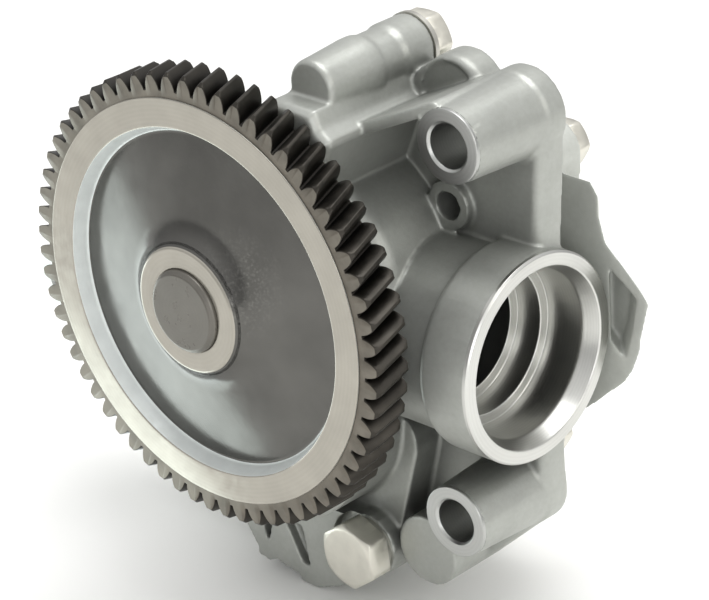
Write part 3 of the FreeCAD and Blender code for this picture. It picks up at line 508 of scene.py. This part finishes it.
def sunk(co, axis, centre, points, depth):
    """Move what lies near a turned profile into the metal by depth, to make room for the profile's lining.

    In the half-plane (radius, station) the profile is a line of points with its metal on the left hand. A
    vertex within 0.9 mm of it moves by depth times the normal there; at a corner that is
    2 (n1 + n2) / |n1 + n2|^2.
    """
    i, j = (0, 2) if axis == 1 else (1, 2)
    off = co[:, (i, j)] - np.array(centre)
    distance = np.linalg.norm(off, axis=1)
    flat = np.column_stack([distance, co[:, axis]])
    points = np.array(points, float)
    run = np.diff(points, axis=0)
    length = np.linalg.norm(run, axis=1)
    normal = np.column_stack([-run[:, 1], run[:, 0]]) / length[:, None]
    corner = normal[:-1] + normal[1:]
    corner *= 2.0 / np.sum(corner ** 2, axis=1, keepdims=True)
    normal = np.vstack([normal[:1], corner, normal[-1:]])
    best = np.full(len(co), 0.9)
    move = np.zeros_like(flat)
    last = len(run) - 1
    for k in range(last + 1):
        t = (flat - points[k]) @ run[k] / length[k] ** 2
        held = np.clip(t, 0.0, 1.0)[:, None]
        gap = np.linalg.norm(flat - points[k] - held * run[k], axis=1)
        nearer = (gap < best) & ((t >= 0.0) | (k > 0)) & ((t <= 1.0) | (k < last))
        best[nearer] = gap[nearer]
        move[nearer] = (normal[k] + held * (normal[k + 1] - normal[k]))[nearer]
    out = 1.0 + depth * move[:, 0] / np.maximum(distance, 1.0)
    co[:, i] = centre[0] + off[:, 0] * out
    co[:, j] = centre[1] + off[:, 1] * out
    co[:, axis] += depth * move[:, 1]


def cast_copy(node, name, materials, slot_of, linings, fitted=None, body="housing"):
    """A casting from a CAD node: its mesh is merged, rebuilt on a voxel grid and relaxed, to round corners.

    linings are (axis, centre, points, depth), for sunk. The vertices are then held to the node's box, and
    fitted, if given, moves them last of all.
    """
    casting = bpy.context.scene.pump_casting
    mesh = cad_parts[node].data.copy()
    tidy = bmesh.new()
    tidy.from_mesh(mesh)
    bmesh.ops.remove_doubles(tidy, verts=tidy.verts, dist=1e-6)
    tidy.to_mesh(mesh)
    tidy.free()
    rough = bpy.data.objects.new(name + "_rough", mesh)
    bpy.context.scene.collection.objects.link(rough)
    grid = rough.modifiers.new("Grid", "REMESH")
    grid.mode = "VOXEL"
    grid.voxel_size = casting.voxel * MM
    relax = rough.modifiers.new("Relax", "SMOOTH")
    relax.factor = 0.5
    relax.iterations = casting.passes
    dense = len(rough.evaluated_get(bpy.context.evaluated_depsgraph_get()).data.polygons) * 2
    if dense > casting.faces:
        thin = rough.modifiers.new("Thin", "DECIMATE")
        thin.ratio = casting.faces / dense
    shape = bpy.data.meshes.new_from_object(rough.evaluated_get(bpy.context.evaluated_depsgraph_get()))
    bpy.data.objects.remove(rough)
    shape.name = name
    shape.materials.clear()

    co = np.empty(len(shape.vertices) * 3)
    shape.vertices.foreach_get("co", co)
    co = co.reshape(-1, 3) / MM
    for lining in linings:
        sunk(co, *lining)
    np.clip(co, *box_mm(node), out=co)
    if fitted is not None:
        fitted(co)
    shape.vertices.foreach_set("co", (co * MM).ravel())
    piece = finish_piece(name, shape, materials, slot_of, body, 50.0)
    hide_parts(node)
    return piece


def hex_head(flats, height, face, columns=96):
    """Rows (rho, h) by angle of a hexagon head with a domed chamfer.

    rho(a) = half flats / cos(a folded to the nearest flat), held to 0.975 of the corner; the top falls by
    tan(30 degrees) for each millimetre outside the face radius.
    """
    angle = np.linspace(0.0, 2.0 * math.pi, columns, endpoint=False)
    flat = np.ones(columns)
    fold = (angle + math.pi / 6.0) % (math.pi / 3.0) - math.pi / 6.0
    rho = np.minimum(flats / 2.0 / np.cos(fold), flats / math.sqrt(3.0) * 0.975)
    edge = height - np.maximum(rho - face, 0.0) * math.tan(math.radians(30.0))
    rows = [(0.0 * flat, height * flat), (face * 0.6 * flat, height * flat),
            (face * 0.93 * flat, height * flat), (face * flat, (height - 0.06) * flat),
            ((face + rho) / 2.0 - 0.1, (height + edge) / 2.0 - 0.02), (rho - 0.12, edge + 0.05),
            (rho, edge - 0.12), (rho, edge * 0.5), (rho, 0.25 * flat), (rho - 0.2, 0.0 * flat),
            (0.0 * flat, 0.0 * flat)]
    return angle, rows


def hex_grid(flats, height, face, centre, seat, forward, turn=0.0):
    """Place a hexagon head on a seat; forward is -1 for a head that faces -Y and +1 for one that faces +Y."""
    angle, rows = hex_head(flats, height, face)
    grid = [np.column_stack([centre[0] + rho * np.cos(angle + turn), seat + forward * h,
                             centre[1] + rho * np.sin(angle + turn)]) for rho, h in rows]
    return np.array(grid)


class OILPUMP_OT_drive_gear(bpy.types.Operator):
    """Make the helical rim, the ground ring, the dished web and the hub"""
    bl_idname = "oilpump.drive_gear"
    bl_label = "Drive gear"

    def execute(self, context):
        gear = context.scene.pump_gear
        steel = context.scene.pump_steel
        dark = phosphated_steel("phosphated_teeth", steel.teeth)
        web = forged_web("forged_web", steel.web)
        bright = ground_steel("ground_ring", steel.ground, 0.13)
        # painted reflection: the dish wall's pale bluish colour stands for the reflection of the low left
        # card
        reflection_painted_wall = steel_with_painted_reflection("dish_wall_painted_reflection", srgb("#DCE1DF"))
        # painted light: the teeth's end faces get the phosphated finish four times lighter, for the light
        # that they catch
        lit_end_finish = phosphated_steel("rim_ends_painted_light", scaled(steel.teeth, 4.0))

        def ends(c):
            return np.where((c[:, 1] < 0.52) | (c[:, 1] > GEAR_RIM_REAR - 0.02), 1, 0)

        rim = put_piece("gear_toothed_rim", helical_rim(gear), [dark, lit_end_finish], ends, "drive_rotor")

        hub_front, hub_rear, web_rear = -5.1, 16.6, 10.3
        profile = [(GEAR_BORE, hub_front), (18.5, hub_front), (19.6, -4.0), (22.5, -0.9), (50.4, 4.8),
                   (gear.dish, 0.0), (gear.ring, 0.0), (gear.ring, GEAR_RIM_REAR),
                   (gear.dish, GEAR_RIM_REAR), (gear.dish, web_rear), (22.0, web_rear), (20.5, hub_rear),
                   (GEAR_BORE, hub_rear)]
        radii = [0.4, 0.5, 0.7, 3.5, 0.9, 0.4, 0.3, 0.3, 0.5, 2.0, 3.0, 0.5, 0.4]
        grid = turned(soften(profile, radii), 256)

        def slot_of(c):
            r = np.hypot(c[:, 0], c[:, 2])
            front = (c[:, 1] < 0.3) & (r > gear.dish - 0.1)
            hub = (r < 19.0) & (c[:, 1] < -4.5)
            # the step round the dish is the face that gets the painted reflection
            step = (c[:, 1] < 4.5) & (r > 50.3)
            return np.where(front | hub, 1, np.where(step, 2, 0))

        disc = put_piece("gear_web_and_ring", grid, [web, bright, reflection_painted_wall], slot_of, "drive_rotor", sharp=60.0)
        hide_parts("drive_gear")
        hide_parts("drive_gear")
        return {"FINISHED"}


class OILPUMP_OT_drive_shaft(bpy.types.Operator):
    """Make the turned drive shaft with its chamfered nose"""
    bl_idname = "oilpump.drive_shaft"
    bl_label = "Drive shaft"

    def execute(self, context):
        finish_of_end = ground_steel("ground_shaft", context.scene.pump_steel.shaft, 0.3)
        nose = SHAFT_LOW[1]
        rear = SHAFT_HIGH[1]
        profile = [(0.0, nose), (11.3, nose), (12.5, nose + 1.2), (12.5, 38.05), (11.0, 38.05), (11.0, 80.75),
                   (10.0, 80.75), (10.0, rear - 0.8), (9.2, rear), (0.0, rear)]
        radii = [0.0, 0.35, 0.35, 0.2, 0.2, 0.2, 0.2, 0.2, 0.2, 0.0]
        shaft = put_piece("turned_drive_shaft", turned(soften(profile, radii), 128), [finish_of_end],
                          body="drive_rotor", wrap_rows=False, sharp=60.0)
        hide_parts("drive_shaft")
        return {"FINISHED"}


class OILPUMP_OT_pump_body(bpy.types.Operator):
    """Make the pump body's casting, with its machined faces and room for the turned linings"""
    bl_idname = "oilpump.pump_body"
    bl_label = "Pump body"

    def execute(self, context):
        casting = context.scene.pump_casting
        skin = cast_aluminium("cast_body_skin", casting.colour)
        cut = cut_aluminium("faced_body", casting.machined, "Y", (0.0, 0.0, 0.0))

        bore = [(10.8, BOSS_FRONT), (BOSS_HOLE + 0.7, BOSS_FRONT), (BOSS_HOLE, BOSS_FRONT + 0.7),
                (BOSS_HOLE, EAR_REAR), (9.5, EAR_REAR)]
        linings = [(1, place, bore, -0.6) for place in BOSSES]
        port = [(PORT_RADIUS, BODY_HIGH[0]), (PORT_MOUTH, BODY_HIGH[0])] + PORT_STEPS
        linings.append((0, PORT_CENTRE, port, 0.8))

        def slot_of(c):
            return np.where(np.abs(c[:, 1] - PARTING) < 0.1, 1, 0)

        def forward(co):
            # The saddle under the relief barrel runs on to 1 mm behind the gear: y = 28 - 1.314 (28 - y)
            near = np.interp(co[:, 0], (8.0, 12.0, 41.0, 44.0), (0.0, 1.0, 1.0, 0.0))
            near *= np.interp(co[:, 2], (27.0, 32.0), (0.0, 1.0))
            co[:, 1] -= near * 0.314 * np.maximum(28.0 - co[:, 1], 0.0)

        body = cast_copy("pump_body", "body_casting", [skin, cut], slot_of, linings, forward)
        return {"FINISHED"}


class OILPUMP_OT_boss_linings(bpy.types.Operator):
    """Make the spot-faced ends and the bores of the three mounting bosses"""
    bl_idname = "oilpump.boss_linings"
    bl_label = "Boss faces and bores"

    def execute(self, context):
        casting = context.scene.pump_casting
        front = BOSS_FRONT
        rear = EAR_REAR
        r = BOSS_HOLE
        profile = [(r, front + 0.7), (r + 0.7, front), (10.82, front), (10.82, front + 1.0),
                   (10.3, front + 1.0), (9.8, front + 0.5), (r + 0.9, front + 0.5), (r + 0.4, front + 1.2),
                   (r + 0.4, rear - 0.6), (9.6, rear - 0.4), (9.6, rear), (r + 0.4, rear), (r, rear - 0.4)]
        radii = [0.15, 0.15, 0.4, 0.0, 0.0, 0.0, 0.0, 0.0, 0.0, 0.0, 0.15, 0.1, 0.1]
        for place, where in zip(BOSSES, ("upper", "lower", "left")):
            cut = cut_aluminium(where + "_boss_face", scaled(casting.machined, 0.8), "Y",
                                (place[0], 0.0, place[1]), 0.36)
            grid = turned(soften(profile, radii), 96, "Y", place)
            lining = put_piece(where + "_boss_lining", grid, [cut], sharp=60.0)
        return {"FINISHED"}


class OILPUMP_OT_suction_port(bpy.types.Operator):
    """Make the turned lining of the suction port, from its rim to the passage"""
    bl_idname = "oilpump.suction_port"
    bl_label = "Suction port"

    def execute(self, context):
        casting = context.scene.pump_casting
        turned_face = cut_aluminium("turned_port", srgb("#CDCDC9"), "X", (0.0,) + PORT_CENTRE)
        # painted shade: the passage beyond the port's last step gets a dark colour, for the dark deep in the
        # bore
        shade_painted_passage = cut_aluminium("passage_painted_shade", srgb("#6E6F6D"), "X", (0.0,) + PORT_CENTRE, 0.4)
        mouth = BODY_HIGH[0]
        rim = PORT_RADIUS
        inside = [(rim, mouth - 0.6), (rim - 0.6, mouth), (PORT_MOUTH, mouth)] + PORT_STEPS
        outside = [(18.5, 30.0), (18.5, 57.5), (21.9, 57.5), (21.9, 66.0), (25.1, 66.0), (25.1, 79.0),
                   (27.2, 83.5), (rim - 0.8, 83.5), (rim - 0.2, 82.4), (rim, 82.4)]
        radii = [0.1, 0.2, 0.4, 0.6, 0.4, 0.5, 0.3, 0.4, 0.0] + [0.0] * len(outside)

        # faces inwards of x = 57.9 mm get the painted shade
        def slot_of(c):
            return np.where(c[:, 0] < 57.9, 1, 0)

        grid = turned(soften(inside + outside, radii), 192, "X", PORT_CENTRE)
        lining = put_piece("suction_port_lining", grid, [turned_face, shade_painted_passage], slot_of, sharp=60.0)
        return {"FINISHED"}


class OILPUMP_OT_rear_cover(bpy.types.Operator):
    """Make the rear cover's casting"""
    bl_idname = "oilpump.rear_cover"
    bl_label = "Rear cover"

    def execute(self, context):
        casting = context.scene.pump_casting
        # painted light: a copy of the body's skin, 1.3 times lighter and less metallic, with less painted
        # shade, to lighten the cover's shaded front
        skin = cast_aluminium("cover_skin_painted_light", scaled(casting.colour, 1.3), 0.25, 0.85)
        cut = cut_aluminium("faced_cover", casting.machined, "Y", (0.0, 0.0, 0.0))

        pad = [(17.4, OUTLET_PAD), (GROOVE_OUTER, OUTLET_PAD), (GROOVE_OUTER, OUTLET_PAD - GROOVE_DEPTH),
               (GROOVE_INNER, OUTLET_PAD - GROOVE_DEPTH), (GROOVE_INNER, OUTLET_PAD),
               (OUTLET_BORE, OUTLET_PAD), (OUTLET_BORE, COVER_FRONT)]

        def slot_of(c):
            return np.where((np.abs(c[:, 1] - COVER_FRONT) < 0.1) & (c[:, 0] < 50.0), 1, 0)

        cover = cast_copy("rear_cover", "cover_casting", [skin, cut], slot_of, [(1, OUTLET, pad, 0.45)])
        faced = cut_aluminium("outlet_pad", casting.machined, "Y", (OUTLET[0], 0.0, OUTLET[1]))
        face = OUTLET_PAD - 0.01
        profile = [(OUTLET_BORE, COVER_FRONT), (OUTLET_BORE, face - 0.3), (11.3, face),
                   (GROOVE_INNER, face), (GROOVE_INNER, face - GROOVE_DEPTH),
                   (GROOVE_OUTER, face - GROOVE_DEPTH), (GROOVE_OUTER, face), (17.6, face),
                   (17.6, face - 0.3), (15.8, face - 0.3), (15.8, face - 2.7), (12.2, face - 2.7),
                   (12.2, face - 0.3), (11.3, face - 0.4), (11.3, COVER_FRONT)]
        lining = put_piece("outlet_lining", turned(profile, 96, "Y", OUTLET), [faced], sharp=40.0)
        return {"FINISHED"}


class OILPUMP_OT_plugs(bpy.types.Operator):
    """Make the plated hexagon plugs of the two valves"""
    bl_idname = "oilpump.plugs"
    bl_label = "Valve plugs"

    def execute(self, context):
        zinc = zinc_plate("zinc_plugs", context.scene.pump_steel.zinc)
        grid = hex_grid(19.0, 8.2, 9.1, REGULATOR, REGULATOR_SEAT, -1, math.radians(7.0))
        regulator = put_piece("regulator_hex", grid, [zinc], wrap_rows=False)
        grid = hex_grid(16.0, 7.0, 7.6, RELIEF, RELIEF_SEAT, 1, math.radians(30.0))
        relief = put_piece("relief_hex", grid, [zinc], wrap_rows=False)
        threads = (("regulator_thread", REGULATOR, REGULATOR_SEAT, 46.5, 6.48),
                   ("relief_thread", RELIEF, RELIEF_SEAT, 53.0, 6.98))
        for name, centre, start, end, radius in threads:
            profile = [(0.0, start), (radius, start), (radius, end), (radius - 2.3, end),
                       (radius - 2.3, end + (start - end) * 0.6), (0.0, end + (start - end) * 0.6)]
            stem = put_piece(name, turned(profile, 64, "Y", centre), [zinc], wrap_rows=False)
            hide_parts("regulator_plug" if name.startswith("regulator") else "relief_plug")
        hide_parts("regulator_plug")
        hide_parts("relief_plug")
        return {"FINISHED"}


class OILPUMP_OT_cover_screws(bpy.types.Operator):
    """Make the plated screws that hold the rear cover"""
    bl_idname = "oilpump.cover_screws"
    bl_label = "Cover screws"

    def execute(self, context):
        zinc = zinc_plate("zinc_screws", scaled(context.scene.pump_steel.zinc, 0.96))
        washer = [(0.0, COVER_REAR - 16.9), (3.95, COVER_REAR - 16.9), (3.95, COVER_REAR + 0.01),
                  (8.35, COVER_REAR + 0.01), (7.8, COVER_REAR + 1.2), (0.0, COVER_REAR + 1.2)]
        for k, centre in enumerate(COVER_SCREWS):
            grid = hex_grid(13.0, 6.0, 6.1, centre, COVER_REAR + 1.19, 1, math.radians(30.0))
            head = put_piece(f"cover_screw_head_{k}", grid, [zinc], wrap_rows=False)
            grid = turned(soften(washer, [0, 0.4, 0.1, 0.2, 0.3, 0]), 48, "Y", centre)
            shank = put_piece(f"cover_screw_shank_{k}", grid, [zinc], wrap_rows=False)
            for piece in (head, shank):
                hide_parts("cover_screws")
        return {"FINISHED"}


class OILPUMP_OT_inner_parts(bpy.types.Operator):
    """Give the parts inside the housing and the seals their finishes"""
    bl_idname = "oilpump.inner_parts"
    bl_label = "Inner parts"

    def execute(self, context):
        steel = plain_metal("ground_inner_steel", "#B9B8B2", 0.28)
        hard = plain_metal("hardened_steel", "#9C9B97", 0.3)
        bronze = plain_metal("turned_bronze", "#C49A58", 0.32)
        wire = plain_metal("oiled_spring_wire", "#6A6A6C", 0.35)
        soft = plain_metal("soft_aluminium_washer", "#C4C2BB", 0.4)
        fibre = pressed_fibre("gasket_fibre", "#57564F")
        rubber = moulded_rubber("nitrile_rubber", "#1B1B1C")
        finishes = {
            "driving_pump_gear": steel, "driven_pump_gear": steel, "driven_shaft": steel,
            "relief_plunger": steel, "regulator_plunger": steel, "thrust_washer": hard, "pump_gear_key": hard,
            "dowel_pins": hard, "front_drive_bush": bronze, "rear_drive_bush": bronze,
            "front_driven_bush": bronze, "rear_driven_bush": bronze, "relief_spring": wire,
            "regulator_spring": wire, "relief_washer": soft, "regulator_washer": soft,
            "cover_gasket": fibre, "outlet_o_ring": rubber,
        }
        for node, material in finishes.items():
            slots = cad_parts[node].data.materials
            slots.clear()
            slots.append(material)
        return {"FINISHED"}


def soft_light(name, place, aim, size, power, colour):
    """A square soft box at a place, turned towards a point; both in metres."""
    lamp = bpy.data.lights.new(name, "AREA")
    lamp.size = size
    lamp.energy = power
    lamp.color = srgb(colour)[:3]
    holder = bpy.data.objects.new(name, lamp)
    holder.location = place
    holder.rotation_mode = "QUATERNION"
    holder.rotation_quaternion = (Vector(aim) - Vector(place)).to_track_quat("-Z", "Y")
    holder.visible_camera = False
    bpy.context.scene.collection.objects.link(holder)
    return holder


class OILPUMP_OT_stage(bpy.types.Operator):
    """Set up the pale floor, the soft boxes and the photograph's camera"""
    bl_idname = "oilpump.stage"
    bl_label = "Stage"

    def execute(self, context):
        scene = context.scene
        material, _, shader, _ = finish("pale_floor", 0.0, 0.7)
        shader.inputs["Base Color"].default_value = srgb("#F4F4F2")
        half = 3.0
        floor_z = BODY_LOW[2] * MM
        mesh = bpy.data.meshes.new("pale_floor")
        corners = [(-half, -half, floor_z), (half, -half, floor_z), (half, half, floor_z),
                   (-half, half, floor_z)]
        mesh.from_pydata(corners, [], [(0, 1, 2, 3)])
        mesh.materials.append(material)
        floor = bpy.data.objects.new("pale_floor", mesh)
        scene.collection.objects.link(floor)

        world = bpy.data.worlds.new("studio")
        world.use_nodes = True
        sky = world.node_tree
        sky.nodes["Background"].inputs["Color"].default_value = srgb("#FFFFFF")
        looked = add(sky, "ShaderNodeTexCoord", {}).outputs["Generated"]
        height = add(sky, "ShaderNodeSeparateXYZ", {"Vector": looked}).outputs["Z"]
        light = add(sky, "ShaderNodeMapRange", {"Value": height, "From Min": 0.0, "From Max": 0.8,
                                                "To Min": 0.45, "To Max": 1.0}).outputs["Result"]
        sky.links.new(light, sky.nodes["Background"].inputs["Strength"])
        scene.world = world
        soft_light("top_box", (0.1, 0.15, 1.1), (0, 0, 0), 0.8, 9.0, "#FFFFFF")
        soft_light("right_box", (1.0, 0.1, 0.5), (0, 0, 0), 0.5, 2.1, "#FFFDF8")
        soft_light("front_box", (1.1, -0.8, 0.35), (0, 0, 0), 0.6, 3.5, "#FFFFFF")
        # Seen only in reflections: it makes the pale zone low on the left of the gear's web
        card = soft_light("left_card", (-0.317, -0.025, -0.1), (-0.317, -0.025, 0.5), 0.52, 1.2, "#D6E3E2")
        card.data.shape = "RECTANGLE"
        card.data.size_y = 0.26
        card.rotation_mode = "XYZ"
        card.rotation_euler = (math.pi, 0.0, math.radians(24.0))
        card.visible_diffuse = False

        a = math.radians(CAMERA_AZIMUTH)
        e = math.radians(CAMERA_ELEVATION)
        r = math.radians(CAMERA_ROLL)
        right = Vector((math.cos(a), math.sin(a), 0.0))
        back = Vector((math.sin(a) * math.cos(e), -math.cos(a) * math.cos(e), math.sin(e)))
        up = back.cross(right)
        turned_right = math.cos(r) * right + math.sin(r) * up
        turned_up = -math.sin(r) * right + math.cos(r) * up
        data = bpy.data.cameras.new("photo_camera")
        data.lens = CAMERA_LENS
        data.sensor_width = 36.0
        data.clip_start = 0.05
        camera = bpy.data.objects.new("photo_camera", data)
        turn = Matrix((turned_right, turned_up, back)).transposed()
        camera.matrix_world = Matrix.Translation(CAMERA_PLACE) @ turn.to_4x4()
        scene.collection.objects.link(camera)
        scene.camera = camera
        scene.view_settings.view_transform = "Standard"
        return {"FINISHED"}


OPERATORS = (OILPUMP_OT_drive_gear, OILPUMP_OT_drive_shaft, OILPUMP_OT_pump_body, OILPUMP_OT_boss_linings,
             OILPUMP_OT_suction_port, OILPUMP_OT_rear_cover, OILPUMP_OT_plugs, OILPUMP_OT_cover_screws,
             OILPUMP_OT_inner_parts, OILPUMP_OT_stage)


class OILPUMP_PT_panel(bpy.types.Panel):
    """Lists the pump's pieces and the values behind them"""
    bl_idname = "OILPUMP_PT_panel"
    bl_label = "Oil Pump"
    bl_space_type = "VIEW_3D"
    bl_region_type = "UI"
    bl_category = "Oil Pump"

    def draw(self, context):
        for settings in (context.scene.pump_gear, context.scene.pump_casting, context.scene.pump_steel):
            column = self.layout.column()
            for name in settings.__annotations__:
                column.prop(settings, name)
        for operator in OPERATORS:
            self.layout.operator(operator.bl_idname)


CLASSES = (PumpGearSettings, PumpCastingSettings, PumpSteelSettings) + OPERATORS + (OILPUMP_PT_panel,)


def register():
    """Register the classes and their settings on the scene."""
    for cls in CLASSES:
        bpy.utils.register_class(cls)
    bpy.types.Scene.pump_gear = bpy.props.PointerProperty(type=PumpGearSettings)
    bpy.types.Scene.pump_casting = bpy.props.PointerProperty(type=PumpCastingSettings)
    bpy.types.Scene.pump_steel = bpy.props.PointerProperty(type=PumpSteelSettings)


def unregister():
    """Remove the settings and the classes."""
    del bpy.types.Scene.pump_gear
    del bpy.types.Scene.pump_casting
    del bpy.types.Scene.pump_steel
    for cls in reversed(CLASSES):
        bpy.utils.unregister_class(cls)


def main():
    """Make every piece and the stage."""
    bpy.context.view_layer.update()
    register()
    for operator in OPERATORS:
        group, name = operator.bl_idname.split(".")
        getattr(getattr(bpy.ops, group), name)()


if __name__ == "__main__":
    main()
